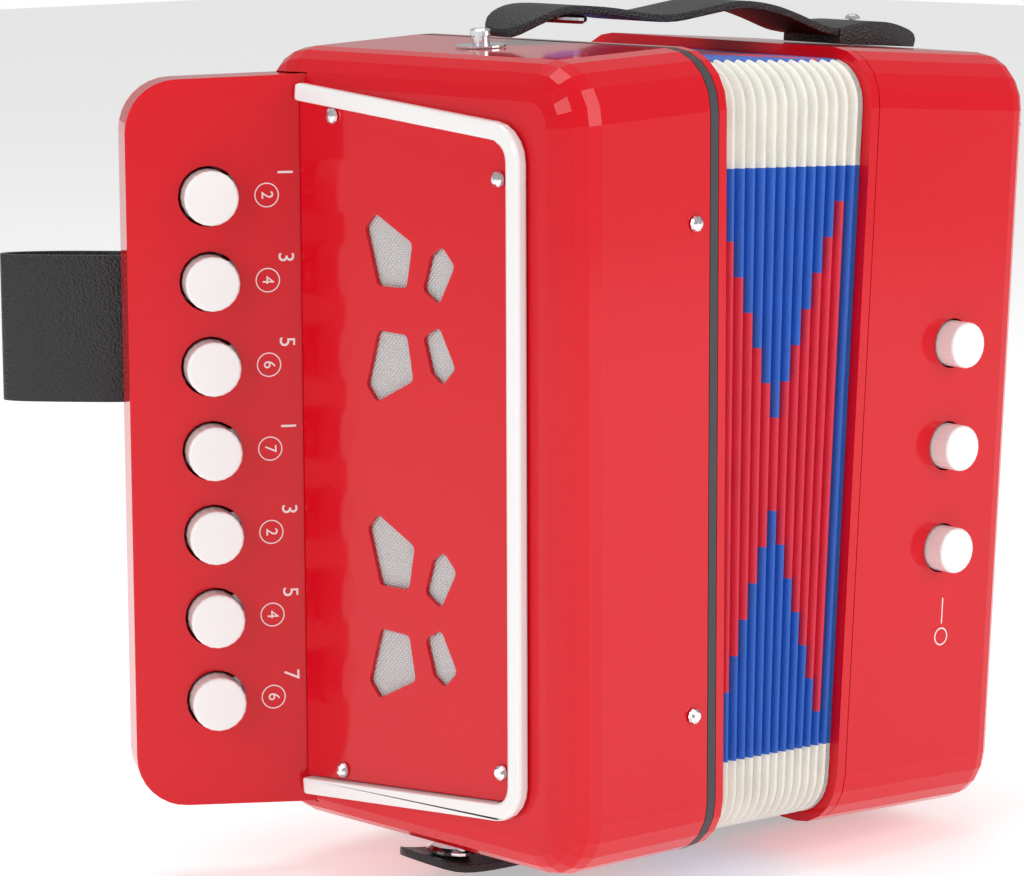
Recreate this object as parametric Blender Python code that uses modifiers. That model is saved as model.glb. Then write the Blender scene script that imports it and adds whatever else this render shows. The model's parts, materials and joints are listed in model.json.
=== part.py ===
"""A small button accordion: seven treble buttons, three bass buttons, fourteen bellows folds.

Metres, +Z up. X runs along the bellows: the treble casing with its keyboard is at -X, the bass
casing at +X. The front of the instrument faces -Y. Every place below is measured from the centre
of the treble casing's end face, and the whole model is then set down with the middle of its
footprint on the origin.
"""
import math

import bmesh
import bpy
from mathutils import Matrix, Vector

# Body section shared by both casings, the gasket and the bellows frames
BODY_HEIGHT = 0.220
BODY_DEPTH = 0.1275
CORNER_RADIUS = 0.016
CASING_WALL = 0.0025
CLEARANCE = 0.0003

# Treble casing: full size at the bellows, smaller at the end face
TREBLE_LENGTH = 0.050
TREBLE_FILLET = 0.010
TREBLE_DRAFT = math.radians(1.9)

# Bass casing, which lies a little askew because the bellows is held open by its slack straps
BASS_LENGTH = 0.061
BASS_FILLET = 0.007
BASS_DRAFT = math.radians(0.7)
BASS_SHIFT = -0.002
BASS_DROP = 0.0027
BASS_TILT = math.radians(3.15)
BASS_SWING = math.radians(-6.3)

# Rings between the casings and the bellows
GASKET_THICKNESS = 0.003
FRAME_THICKNESS = 0.003
RING_WIDTH = 0.010

# Bellows
BELLOWS_LENGTH = 0.059
FOLD_COUNT = 14
FOLD_INSET = 0.0032
FOLD_DEPTH = 0.0065
BELLOWS_WALL = 0.0012

# Keyboard housing: a slab that runs out and back from a line on the end face, here the crease
CREASE_Y = 0.0409
KEYBOARD_ANGLE = math.radians(58)
KEYBOARD_WIDTH = 0.0492
KEYBOARD_HEIGHT = 0.2048
KEYBOARD_DROP = 0.0007
KEYBOARD_TAPER = math.radians(1.5)
KEYBOARD_THICKNESS = 0.014
KEYBOARD_CORNER = 0.0145
KEYBOARD_WALL = 0.002
KEYBOARD_ROOT = 0.0035
KEYBOARD_EDGE = 0.0012
COVER_THICKNESS = 0.002

# Treble buttons and their levers
KEY_COUNT = 7
KEY_PITCH = 0.0235
KEY_DROP = 0.0018
KEY_OFFSET = 0.0266
TREBLE_BUTTON_RADIUS = 0.00755
TREBLE_BUTTON_HEIGHT = 0.00645
TREBLE_BUTTON_PLAY = 0.00085
AXLE_RADIUS = 0.00095
AXLE_OFFSET = -0.001
AXLE_DEPTH = 0.0046
HUB_RADIUS = 0.0022
LEVER_THICKNESS = 0.0016
LEVER_WIDTH = 0.010
LEVER_DEPTH = 0.0056
LEVER_OVERRUN = 0.005
PALLET_THICKNESS = 0.003
PALLET_LENGTH = 0.012
PALLET_OFFSET = 0.018

# Reed board across the treble casing, with its reed block behind
REED_BOARD_X = 0.0243
REED_BOARD_THICKNESS = 0.004
TONE_HOLE_LENGTH = 0.007
TONE_HOLE_WIDTH = 0.006
REED_BLOCK_THICKNESS = 0.012
REED_BLOCK_DEPTH = 0.028
REED_BLOCK_MARGIN = 0.012

# Grille plate with its petals, and the raised trim around it
GRILLE_THICKNESS = 0.0012
GRILLE_GROUP_SPREAD = 0.0412
GRILLE_DROP = 0.0012
PETAL_ROUND = 0.0016
BIG_PETAL = ((0.0110, 0.0258), (-0.0036, 0.0186), (-0.0012, 0.0063), (0.0102, 0.0060), (0.0150, 0.0215))
SMALL_PETAL = ((-0.0148, 0.0187), (-0.0198, 0.0137), (-0.0136, 0.0028), (-0.0074, 0.0063), (-0.0105, 0.0159))
MESH_THICKNESS = 0.0005
MESH_MARGIN = 0.0022
TRIM_WIDTH = 0.0048
TRIM_HEIGHT = 0.0038
TRIM_BEVEL = 0.0012
TRIM_ROUND = 0.008
TRIM_FRONT_Y = -0.0433
TRIM_TOP_Z = 0.0970
TRIM_BOTTOM_Z = -0.0978
TRIM_SLOPE = 0.085

# Screws
SCREW_HEAD_RADIUS = 0.0023
SCREW_HEAD_HEIGHT = 0.0016
SCREW_SHANK_RADIUS = 0.0011
SCREW_LENGTH = 0.006
GRILLE_SCREWS = ((0.0273, 0.0910), (-0.0365, 0.0779), (-0.0367, -0.0806), (0.0258, -0.0910))
CASING_SCREW_INSET = 0.0055
CASING_SCREW_Z = (0.0647, -0.0686)

# Bass buttons, valve board and reed block, all in the bass casing
BASS_BUTTON_RADIUS = 0.00655
BASS_BUTTON_HEIGHT = 0.0064
BASS_BUTTON_PLAY = 0.0006
BASS_BUTTON_LENGTH = 0.0125
BASS_BUTTON_X = 0.0339
BASS_BUTTON_TOP_Z = 0.0275
BASS_BUTTON_PITCH = 0.0294
BASS_STEM_RADIUS = 0.0016
BASS_PALLET_RADIUS = 0.0066
BASS_PALLET_THICKNESS = 0.002
VALVE_BOARD_Y = -0.047
VALVE_BOARD_THICKNESS = 0.0025
VALVE_BOARD_START = 0.002
VALVE_HOLE_RADIUS = 0.0035
BASS_BLOCK_LENGTH = 0.018
BASS_BLOCK_DEPTH = 0.022
BASS_BLOCK_HEIGHT = 0.150

# Straps
STRAP_THICKNESS = 0.0022
STRAP_WIDTH = 0.024
STRAP_Y = -0.006
STRAP_HINGE_X = 0.027
STRAP_ROUND = 0.010
STRAP_SCREW_OFFSET = 0.0165
STRAP_SCREW_LENGTH = 0.011
SNAP_RADIUS = 0.0068
SNAP_THICKNESS = 0.0026
STUD_X = 0.028
STUD_RADIUS = 0.0029
STUD_BASE_RADIUS = 0.007
STUD_BASE_THICKNESS = 0.0004
TOP_STUD_HEIGHT = 0.0048
BOTTOM_STUD_X = 0.019
BOTTOM_STUD_HEIGHT = 0.0019
HAND_STRAP_WIDTH = 0.044
HAND_STRAP_THICKNESS = 0.002
HAND_STRAP_REACH = 0.084
HAND_STRAP_RISE = 0.0165
THUMB_STRAP_THICKNESS = 0.0018
THUMB_STRAP_WIDTH = 0.041
THUMB_STRAP_Z = 0.031

# Feet on the bass end
FOOT_RADIUS = 0.0045
FOOT_HEIGHT = 0.006
FOOT_Y = 0.050
FOOT_Z = 0.089

# Smoothness of round shapes
CORNER_STEPS = 5
CIRCLE_STEPS = 20
SMALL_CIRCLE_STEPS = 10

RED = (0.62, 0.004, 0.012)
DARK_RED = (0.30, 0.004, 0.010)
BELLOWS_RED = (0.52, 0.012, 0.035)
WHITE = (0.86, 0.86, 0.84)
LEATHER_BLACK = (0.012, 0.012, 0.013)
RUBBER_GREY = (0.045, 0.045, 0.05)
STEEL = (0.75, 0.76, 0.78)
WOOD = (0.62, 0.44, 0.25)


def clear_scene():
    for obj in list(bpy.data.objects):
        bpy.data.objects.remove(obj, do_unlink=True)


def new_collection(name):
    collection = bpy.data.collections.new(name)
    bpy.context.scene.collection.children.link(collection)
    return collection


def material(name, colour, roughness, metallic=0.0):
    found = bpy.data.materials.get(name)
    if found:
        return found
    made = bpy.data.materials.new(name)
    made.use_nodes = True
    shader = made.node_tree.nodes["Principled BSDF"]
    shader.inputs["Base Color"].default_value = (*colour, 1.0)
    shader.inputs["Roughness"].default_value = roughness
    shader.inputs["Metallic"].default_value = metallic
    return made


def gloss_red():
    return material("gloss_red_plastic", RED, 0.12)


def white_plastic():
    return material("white_plastic", WHITE, 0.3)


def black_leather():
    return material("black_leather", LEATHER_BLACK, 0.55)


def bright_steel():
    return material("bright_steel", STEEL, 0.15, 1.0)


def pale_wood():
    return material("pale_wood", WOOD, 0.7)


def add_object(name, mesh, surface, parent, matrix=Matrix.Identity(4)):
    obj = bpy.data.objects.new(name, mesh)
    PARTS.objects.link(obj)
    obj.parent = parent
    obj.matrix_local = matrix
    if surface:
        mesh.materials.clear()
        mesh.materials.append(surface)
    return obj


def add_empty(name, parent, matrix=Matrix.Identity(4)):
    empty = bpy.data.objects.new(name, None)
    PARTS.objects.link(empty)
    empty.empty_display_size = 0.01
    empty.parent = parent
    empty.matrix_local = matrix
    return empty


def as_cutter(obj):
    PARTS.objects.unlink(obj)
    CUTTERS.objects.link(obj)
    obj.hide_render = True
    obj.display_type = "WIRE"
    return obj


def boolean(obj, cutter, operation="DIFFERENCE"):
    as_cutter(cutter)
    step = obj.modifiers.new(cutter.name, "BOOLEAN")
    step.object = cutter
    step.operation = operation
    return obj


def bevelled(obj, width, segments=2, angle=math.radians(40)):
    step = obj.modifiers.new("edge", "BEVEL")
    step.width = width
    step.segments = segments
    step.limit_method = "ANGLE"
    step.angle_limit = angle
    return obj


def smooth_shaded(obj, angle=math.radians(35)):
    obj.data.shade_smooth()
    obj.data.set_sharp_from_angle(angle=angle)
    return obj


def mesh_from(bm, name):
    mesh = bpy.data.meshes.new(name)
    bm.to_mesh(mesh)
    bm.free()
    return mesh


def box(name, low, high, surface, parent, matrix=Matrix.Identity(4)):
    low, high = Vector(low), Vector(high)
    bm = bmesh.new()
    bmesh.ops.create_cube(bm, size=1.0)
    bmesh.ops.scale(bm, vec=high - low, verts=bm.verts)
    bmesh.ops.translate(bm, vec=(high + low) / 2, verts=bm.verts)
    return add_object(name, mesh_from(bm, name), surface, parent, matrix)


def cylinder(name, radius, start, end, surface, parent, matrix=Matrix.Identity(4), steps=CIRCLE_STEPS):
    """A cylinder along local Z from start to end."""
    bm = bmesh.new()
    bmesh.ops.create_cone(bm, cap_ends=True, segments=steps, radius1=radius, radius2=radius, depth=end - start)
    bmesh.ops.translate(bm, vec=(0, 0, (start + end) / 2), verts=bm.verts)
    return add_object(name, mesh_from(bm, name), surface, parent, matrix)


def turned(name, profile, surface, parent, matrix=Matrix.Identity(4), steps=CIRCLE_STEPS):
    """Turns (radius, height) points, listed from the top centre down the outside, around Z."""
    mesh = bpy.data.meshes.new(name)
    points = [(radius, 0.0, height) for radius, height in profile]
    mesh.from_pydata(points, [(i, i + 1) for i in range(len(points) - 1)], [])
    obj = add_object(name, mesh, surface, parent, matrix)
    screw = obj.modifiers.new("turn", "SCREW")
    screw.axis = "Z"
    screw.angle = 2 * math.pi
    screw.steps = steps
    screw.render_steps = steps
    screw.use_merge_vertices = True
    screw.merge_threshold = 0.00001
    return obj


def extruded(name, loops, low, high, surface, parent, matrix=Matrix.Identity(4)):
    """Fills closed outlines in local XY, the later ones as holes, from height low to height high."""
    curve = bpy.data.curves.new(name, "CURVE")
    curve.dimensions = "2D"
    curve.fill_mode = "BOTH"
    curve.extrude = (high - low) / 2
    for loop in loops:
        spline = curve.splines.new("POLY")
        spline.points.add(len(loop) - 1)
        for point, place in zip(spline.points, loop):
            point.co = (place[0], place[1], 0.0, 1.0)
        spline.use_cyclic_u = True
    guide = bpy.data.objects.new(name + "_outline", curve)
    PARTS.objects.link(guide)
    evaluated = guide.evaluated_get(bpy.context.evaluated_depsgraph_get())
    mesh = bpy.data.meshes.new_from_object(evaluated)
    bpy.data.objects.remove(guide, do_unlink=True)
    bm = bmesh.new()
    bm.from_mesh(mesh)
    bmesh.ops.remove_doubles(bm, verts=bm.verts, dist=0.000001)
    bmesh.ops.translate(bm, vec=(0, 0, (low + high) / 2), verts=bm.verts)
    bmesh.ops.recalc_face_normals(bm, faces=bm.faces)
    bm.to_mesh(mesh)
    bm.free()
    mesh.name = name
    return add_object(name, mesh, surface, parent, matrix)


def axes_matrix(x_axis, y_axis, z_axis, place=(0, 0, 0)):
    matrix = Matrix((x_axis, y_axis, z_axis)).transposed().to_4x4()
    matrix.translation = Vector(place)
    return matrix


# Local X and Y of an outline on world Y and Z, so that it is extruded along X
ACROSS = axes_matrix((0, 1, 0), (0, 0, 1), (1, 0, 0))
# Local X and Y of an outline on world X and Z, so that it is extruded along -Y
ALONG = axes_matrix((1, 0, 0), (0, 0, 1), (0, -1, 0))
# Turns local Z to -X, -Y or +X for turned pieces
FACING_LEFT = axes_matrix((0, 1, 0), (0, 0, -1), (-1, 0, 0))
FACING_FRONT = axes_matrix((1, 0, 0), (0, 0, 1), (0, -1, 0))
FACING_RIGHT = axes_matrix((0, 1, 0), (0, 0, 1), (1, 0, 0))
UPSIDE_DOWN = axes_matrix((1, 0, 0), (0, -1, 0), (0, 0, -1))


def placed(matrix, place):
    return Matrix.Translation(Vector(place)) @ matrix


def circle(radius, centre=(0.0, 0.0), steps=SMALL_CIRCLE_STEPS):
    turns = (2 * math.pi * i / steps for i in range(steps))
    return [(centre[0] + radius * math.cos(t), centre[1] + radius * math.sin(t)) for t in turns]


def round_corner(before, corner, after, radius, steps=CORNER_STEPS):
    """Points of the arc that rounds one corner of an outline."""
    corner = Vector(corner)
    back = (Vector(before) - corner).normalized()
    ahead = (Vector(after) - corner).normalized()
    half = back.angle(ahead) / 2
    centre = corner + (back + ahead).normalized() * (radius / math.sin(half))
    start = corner + back * (radius / math.tan(half)) - centre
    end = corner + ahead * (radius / math.tan(half)) - centre
    sweep = start.angle_signed(end)
    return [tuple(centre + Matrix.Rotation(-sweep * i / steps, 2) @ start) for i in range(steps + 1)]


def rounded_outline(corners, radii, steps=CORNER_STEPS):
    count = len(corners)
    points = []
    for i in range(count):
        points += round_corner(corners[i - 1], corners[i], corners[(i + 1) % count], radii[i], steps)
    return points


def section(inset, steps=CORNER_STEPS, drafted=0.0):
    """The body's rounded section in (y, z), drawn in by an inset and made smaller by the draft."""
    half_depth = BODY_DEPTH / 2 - inset - drafted
    half_height = BODY_HEIGHT / 2 - inset - drafted
    radius = max(CORNER_RADIUS - inset, 0.002)
    corners = [(half_depth, half_height), (-half_depth, half_height)]
    corners += [(-half_depth, -half_height), (half_depth, -half_height)]
    return rounded_outline(corners, [radius] * 4, steps)


def band(points, width):
    """Outline of a strip of even width along an open path."""
    places = [Vector(p) for p in points]
    left, right = [], []
    for i, place in enumerate(places):
        ahead = places[min(i + 1, len(places) - 1)]
        behind = places[max(i - 1, 0)]
        run = (ahead - behind).normalized()
        side = Vector((-run.y, run.x)) * (width / 2)
        left.append(tuple(place + side))
        right.append(tuple(place - side))
    return left + right[::-1]


def smooth_path(points, steps=3):
    """A smooth curve through an open list of points."""
    ends = [Vector(p) for p in points]
    ends = [ends[0] * 2 - ends[1]] + ends + [ends[-1] * 2 - ends[-2]]
    path = []
    for a, b, c, d in zip(ends, ends[1:], ends[2:], ends[3:]):
        for i in range(steps):
            t = i / steps
            path.append(0.5 * (2 * b + (c - a) * t + (2 * a - 5 * b + 4 * c - d) * t**2 + (3 * b - a - 3 * c + d) * t**3))
    path.append(ends[-2])
    return [tuple(p) for p in path]


def casing_mesh(name, length, fillet, draft, grow=0.0, closed=False):
    """A box with the body's section at x = 0 that narrows to a filleted end face at x = length."""
    taper = length * math.tan(draft)
    bm = bmesh.new()
    bmesh.ops.create_cube(bm, size=1.0)
    for vert in bm.verts:
        at_end = vert.co.x > 0
        vert.co.x = length + grow if at_end else 0.0
        vert.co.y *= BODY_DEPTH + 2 * grow - (2 * taper if at_end else 0.0)
        vert.co.z *= BODY_HEIGHT + 2 * grow - (2 * taper if at_end else 0.0)
    long_edges = [e for e in bm.edges if abs(e.verts[0].co.x - e.verts[1].co.x) > length / 2]
    bevel_edges(bm, long_edges, CORNER_RADIUS, CORNER_STEPS)
    end_edges = [e for e in bm.edges if min(v.co.x for v in e.verts) > length + grow - 0.00001]
    bevel_edges(bm, end_edges, fillet, CORNER_STEPS - 1)
    if not closed:
        open_face = [f for f in bm.faces if all(v.co.x < 0.00001 for v in f.verts)]
        bmesh.ops.delete(bm, geom=open_face, context="FACES_ONLY")
    return mesh_from(bm, name)


def bevel_edges(bm, edges, width, segments):
    bmesh.ops.bevel(
        bm, geom=edges, offset=width, offset_type="OFFSET", segments=segments, profile=0.5, affect="EDGES",
        clamp_overlap=False,
    )


def casing(name, length, fillet, draft, parent, matrix):
    mesh = casing_mesh(name, length, fillet, draft)
    obj = add_object(name, mesh, gloss_red(), parent, matrix)
    smooth_shaded(obj)
    wall = obj.modifiers.new("wall", "SOLIDIFY")
    wall.thickness = CASING_WALL
    wall.offset = -1.0
    wall.use_even_offset = True
    return obj


def screw(name, head_radius, head_height, parent, matrix, length=SCREW_LENGTH, colour=None):
    """A domed screw along local Z, seated at z = 0 with its shank below."""
    shank = SCREW_SHANK_RADIUS
    profile = [(0.0, head_height), (head_radius * 0.55, head_height * 0.9), (head_radius * 0.88, head_height * 0.55)]
    profile += [(head_radius, head_height * 0.1), (head_radius, 0.0), (shank, 0.0), (shank, -length), (0.0, -length)]
    surface = colour or bright_steel()
    return smooth_shaded(turned(name, profile, surface, parent, matrix, SMALL_CIRCLE_STEPS))


def screw_hole(name, obj, parent, matrix, depth=SCREW_LENGTH * 2):
    hole = cylinder(name, SCREW_SHANK_RADIUS + CLEARANCE, -depth, depth, None, parent, matrix, SMALL_CIRCLE_STEPS)
    return boolean(obj, hole)


def key_heights():
    middle = (KEY_COUNT - 1) / 2
    return [(middle - i) * KEY_PITCH - KEY_DROP for i in range(KEY_COUNT)]


def keyboard_axes():
    """The keyboard's own frame: X outward from the crease, Y up, Z down into the slab."""
    out = Vector((-math.sin(KEYBOARD_ANGLE), math.cos(KEYBOARD_ANGLE), 0.0))
    inward = Vector((math.cos(KEYBOARD_ANGLE), math.sin(KEYBOARD_ANGLE), 0.0))
    return axes_matrix(out, (0, 0, 1), inward, (0.0, CREASE_Y, 0.0))


def keyboard_outline(inset, start):
    """Tapered slab with two rounded outer corners, drawn in by an inset."""
    end = KEYBOARD_WIDTH - inset
    fall = math.tan(KEYBOARD_TAPER)
    half = KEYBOARD_HEIGHT / 2 - inset
    high_start, high_end = half - start * fall - KEYBOARD_DROP, half - end * fall - KEYBOARD_DROP
    low_start, low_end = -half + start * fall - KEYBOARD_DROP, -half + end * fall - KEYBOARD_DROP
    radius = KEYBOARD_CORNER - inset
    outer = round_corner((start, low_start), (end, low_end), (end, high_end), radius, 8)
    outer += round_corner((end, low_end), (end, high_end), (start, high_start), radius, 8)
    return [(start, low_start)] + outer + [(start, high_start)]


def build_keyboard_housing(parent):
    frame = keyboard_axes()
    front = gloss_red()
    slab = extruded(
        "keyboard_housing", [keyboard_outline(0.0, -KEYBOARD_ROOT)], 0.0, KEYBOARD_THICKNESS, front, parent, frame
    )
    edge = slab.modifiers.new("edge", "BEVEL")
    edge.width = KEYBOARD_EDGE
    edge.segments = 2
    edge.limit_method = "ANGLE"
    edge.angle_limit = math.radians(60)
    hollow = extruded(
        "keyboard_hollow",
        [keyboard_outline(KEYBOARD_WALL, -2 * KEYBOARD_ROOT)],
        KEYBOARD_WALL, KEYBOARD_THICKNESS * 2, None, parent, frame,
    )
    boolean(slab, hollow)
    for i, height in enumerate(key_heights()):
        hole = cylinder(
            f"treble_button_hole_{i + 1}", TREBLE_BUTTON_RADIUS + TREBLE_BUTTON_PLAY, -0.004, 0.006, None, parent,
            frame @ Matrix.Translation((KEY_OFFSET, height, 0.0)),
        )
        boolean(slab, hole)
    axle_hole = cylinder(
        "axle_hole", AXLE_RADIUS + CLEARANCE, -axle_reach(), axle_reach(), None, parent,
        Matrix.Translation(axle_place()), SMALL_CIRCLE_STEPS,
    )
    boolean(slab, axle_hole)
    return slab


def axle_place():
    return keyboard_axes() @ Vector((AXLE_OFFSET, 0.0, AXLE_DEPTH))


def axle_reach():
    """Half length of the axle, which ends inside the housing's top and bottom walls."""
    return KEYBOARD_HEIGHT / 2 - KEYBOARD_DROP - KEYBOARD_WALL / 2


def build_keyboard_cover(parent):
    inset = KEYBOARD_WALL + CLEARANCE
    low = KEYBOARD_THICKNESS - COVER_THICKNESS
    outline = keyboard_outline(inset, -KEYBOARD_ROOT)
    cover = extruded(
        "keyboard_cover", [outline], low, KEYBOARD_THICKNESS, gloss_red(), parent, keyboard_axes()
    )
    for i, place in enumerate(thumb_strap_screw_places()):
        screw_hole(f"cover_screw_hole_{i + 1}", cover, parent, keyboard_axes() @ Matrix.Translation(place))
    return cover


def lever_outline():
    """Plan of a key lever around its axle: button arm, hub, pallet arm and pallet."""
    frame = keyboard_axes()
    out, inward = frame.col[0].xy, frame.col[2].xy
    near = LEVER_DEPTH - AXLE_DEPTH
    far = near + LEVER_THICKNESS
    reach = KEY_OFFSET - AXLE_OFFSET + LEVER_OVERRUN
    pallet_x = REED_BOARD_X - CLEARANCE - axle_place().x
    arm_end = Vector((pallet_x - PALLET_THICKNESS, -PALLET_OFFSET))
    along = arm_end.normalized()
    side = Vector((-along.y, along.x)) * (LEVER_THICKNESS / 2)
    slant = side.x / along.x
    points = [
        out * reach + inward * near,
        out * reach + inward * far,
        out * HUB_RADIUS * 0.5 + inward * far,
        side.normalized() * HUB_RADIUS + along * HUB_RADIUS * 0.4,
        side + along * HUB_RADIUS * 1.3,
        arm_end + side - along * slant,
        Vector((arm_end.x, arm_end.y + PALLET_LENGTH / 2)),
        Vector((arm_end.x + PALLET_THICKNESS, arm_end.y + PALLET_LENGTH / 2)),
        Vector((arm_end.x + PALLET_THICKNESS, arm_end.y - PALLET_LENGTH / 2)),
        Vector((arm_end.x, arm_end.y - PALLET_LENGTH / 2)),
        arm_end - side + along * slant,
        -side + along * HUB_RADIUS * 1.3,
        -side.normalized() * HUB_RADIUS,
        (out - inward).normalized() * HUB_RADIUS,
        out * HUB_RADIUS * 1.2 + inward * near,
    ]
    return [tuple(p) for p in points]


def build_keys(parent):
    """Seven levers on one axle, each with its button."""
    frame = keyboard_axes()
    pivot = axle_place()
    lever_mesh = None
    button_mesh = None
    bottom = -(LEVER_DEPTH - CLEARANCE)
    top = TREBLE_BUTTON_HEIGHT
    radius = TREBLE_BUTTON_RADIUS
    profile = [(0.0, top), (radius - 0.0006, top), (radius - 0.0002, top - 0.0002), (radius, top - 0.0006)]
    profile += [(radius, bottom), (0.0, bottom)]
    for i, height in enumerate(key_heights()):
        key_place = Matrix.Translation((pivot.x, pivot.y, height))
        key = add_empty(f"key_{i + 1}_pivot", parent, key_place)
        if lever_mesh is None:
            lever = extruded(
                f"treble_lever_{i + 1}",
                [lever_outline(), circle(AXLE_RADIUS + CLEARANCE)],
                -LEVER_WIDTH / 2, LEVER_WIDTH / 2, material("lever_aluminium", (0.6, 0.6, 0.62), 0.4, 1.0), key,
            )
            lever_mesh = lever.data
        else:
            add_object(f"treble_lever_{i + 1}", lever_mesh, None, key)
        cap_place = frame @ Matrix.Translation((KEY_OFFSET, height, 0.0)) @ UPSIDE_DOWN
        button_place = key_place.inverted() @ cap_place
        if button_mesh is None:
            button = smooth_shaded(turned(f"treble_button_{i + 1}", profile, white_plastic(), key, button_place))
            button_mesh = button.data
        else:
            twin = add_object(f"treble_button_{i + 1}", button_mesh, None, key, button_place)
            copy_screw(button, twin)


def copy_screw(source, target):
    old = source.modifiers["turn"]
    new = target.modifiers.new("turn", "SCREW")
    for name in ("axis", "angle", "steps", "render_steps", "use_merge_vertices", "merge_threshold"):
        setattr(new, name, getattr(old, name))


def build_axle(parent):
    reach = axle_reach() - CLEARANCE
    return cylinder("treble_axle", AXLE_RADIUS, -reach, reach, bright_steel(), parent,
                    Matrix.Translation(axle_place()), SMALL_CIRCLE_STEPS)


def treble_inset(x):
    """How far the treble casing's sides are drawn in at x by its draft."""
    return (TREBLE_LENGTH - x) * math.tan(TREBLE_DRAFT)


def build_treble_casing(parent):
    place = Matrix.Translation((TREBLE_LENGTH, 0, 0)) @ Matrix.Rotation(math.pi, 4, "Z")
    obj = casing("treble_casing", TREBLE_LENGTH, TREBLE_FILLET, TREBLE_DRAFT, parent, place)
    slot = extruded(
        "keyboard_slot", [keyboard_outline(-CLEARANCE, -2 * KEYBOARD_ROOT)], -CLEARANCE, KEYBOARD_THICKNESS + CLEARANCE,
        None, parent, keyboard_axes(),
    )
    boolean(obj, slot)
    low, high = mesh_bounds()
    grow = CLEARANCE
    window = box(
        "grille_window", (-0.004, low[0] - grow, low[1] - grow), (0.006, high[0] + grow, high[1] + grow), None, parent
    )
    boolean(obj, window)
    for i, (y, z) in enumerate(GRILLE_SCREWS):
        screw_hole(f"casing_grille_screw_hole_{i + 1}", obj, parent, placed(FACING_LEFT, (0.0, y, z)))
    for i, (place, _) in enumerate(casing_screw_places()):
        screw_hole(f"casing_screw_hole_{i + 1}", obj, parent, place)
    return obj


def casing_screw_places():
    """Two screws through the front wall and two through the back wall, close to the gasket."""
    x = TREBLE_LENGTH - CASING_SCREW_INSET
    depth = BODY_DEPTH / 2 - treble_inset(x) + CLEARANCE
    front = [(placed(FACING_FRONT, (x, -depth, z)), z) for z in CASING_SCREW_Z]
    return front


def mesh_bounds():
    """Lower and upper (y, z) corners of the grille mesh, around all petals."""
    reach = GRILLE_GROUP_SPREAD + max(z for _, z in BIG_PETAL) + MESH_MARGIN
    across = [y for y, _ in BIG_PETAL + SMALL_PETAL]
    low = (min(across) - MESH_MARGIN, -reach - GRILLE_DROP)
    return low, (max(across) + MESH_MARGIN, reach - GRILLE_DROP)


def trim_centre_line(end_y):
    """The trim's path in (y, z): along the top, down the front and back along the bottom."""
    top_corner = (TRIM_FRONT_Y, TRIM_TOP_Z - (end_y - TRIM_FRONT_Y) * TRIM_SLOPE)
    bottom_corner = (TRIM_FRONT_Y, TRIM_BOTTOM_Z + (end_y - TRIM_FRONT_Y) * TRIM_SLOPE)
    start, end = (end_y, TRIM_TOP_Z), (end_y, TRIM_BOTTOM_Z)
    path = [start]
    path += round_corner(start, top_corner, bottom_corner, TRIM_ROUND)
    path += round_corner(top_corner, bottom_corner, end, TRIM_ROUND)
    return path + [end]


def trim_end_y():
    return CREASE_Y - 2 * CLEARANCE


def build_trim(parent):
    outline = band(trim_centre_line(trim_end_y()), TRIM_WIDTH)
    trim = extruded("white_trim", [outline], -TRIM_HEIGHT - CLEARANCE, -CLEARANCE, white_plastic(), parent, ACROSS)
    return bevelled(trim, TRIM_BEVEL, 2, math.radians(50))


def petals():
    """Eight rounded petals in (y, z): two groups, each mirrored up and down."""
    outlines = []
    for group in (GRILLE_GROUP_SPREAD - GRILLE_DROP, -GRILLE_GROUP_SPREAD - GRILLE_DROP):
        for side in (1, -1):
            for petal in (BIG_PETAL, SMALL_PETAL):
                corners = [(y, group + side * z) for y, z in petal]
                outlines.append(rounded_outline(corners, [PETAL_ROUND] * len(corners), 2))
    return outlines


def grille_outline():
    """The plate fills the trim's inner side."""
    inner = TRIM_WIDTH / 2 + CLEARANCE
    end_y = trim_end_y()
    line = trim_centre_line(end_y)
    return band(line, 2 * inner)[: len(line)]


def build_grille_plate(parent):
    loops = [grille_outline()] + petals()
    loops += [circle(SCREW_SHANK_RADIUS + CLEARANCE, place, 12) for place in GRILLE_SCREWS]
    return extruded(
        "grille_plate", loops, -GRILLE_THICKNESS - CLEARANCE, -CLEARANCE, gloss_red(), parent, ACROSS
    )


def build_grille_mesh(parent):
    low, high = mesh_bounds()
    return box(
        "grille_mesh", (0.0, low[0], low[1]), (MESH_THICKNESS, high[0], high[1]),
        material("silver_mesh", (0.7, 0.7, 0.7), 0.35, 1.0), parent,
    )


def build_grille_screws(parent):
    seat = -GRILLE_THICKNESS - 2 * CLEARANCE
    for i, (y, z) in enumerate(GRILLE_SCREWS):
        screw(f"grille_screw_{i + 1}", SCREW_HEAD_RADIUS, SCREW_HEAD_HEIGHT, parent, placed(FACING_LEFT, (seat, y, z)))


def build_casing_screws(parent):
    for i, (place, _) in enumerate(casing_screw_places()):
        screw(f"casing_screw_{i + 1}", SCREW_HEAD_RADIUS, SCREW_HEAD_HEIGHT, parent, place)


def ring(name, start, thickness, surface, parent):
    """A flat frame with the body's section, across X from start."""
    loops = [section(0.0), section(RING_WIDTH, 3)]
    return extruded(name, loops, start, start + thickness, surface, parent, ACROSS)


def gasket_start():
    return TREBLE_LENGTH + CLEARANCE


def treble_frame_start():
    return gasket_start() + GASKET_THICKNESS + CLEARANCE


def bellows_start():
    return treble_frame_start() + FRAME_THICKNESS + CLEARANCE


def bass_matrix():
    """Place of the bass casing's rim, measured along the bellows from its treble frame."""
    x = bellows_start() + BELLOWS_LENGTH + FRAME_THICKNESS + 2 * CLEARANCE
    turn = Matrix.Rotation(BASS_SWING, 4, "Z") @ Matrix.Rotation(BASS_TILT, 4, "Y")
    return Matrix.Translation((x, BASS_SHIFT, -BASS_DROP)) @ turn


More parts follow.
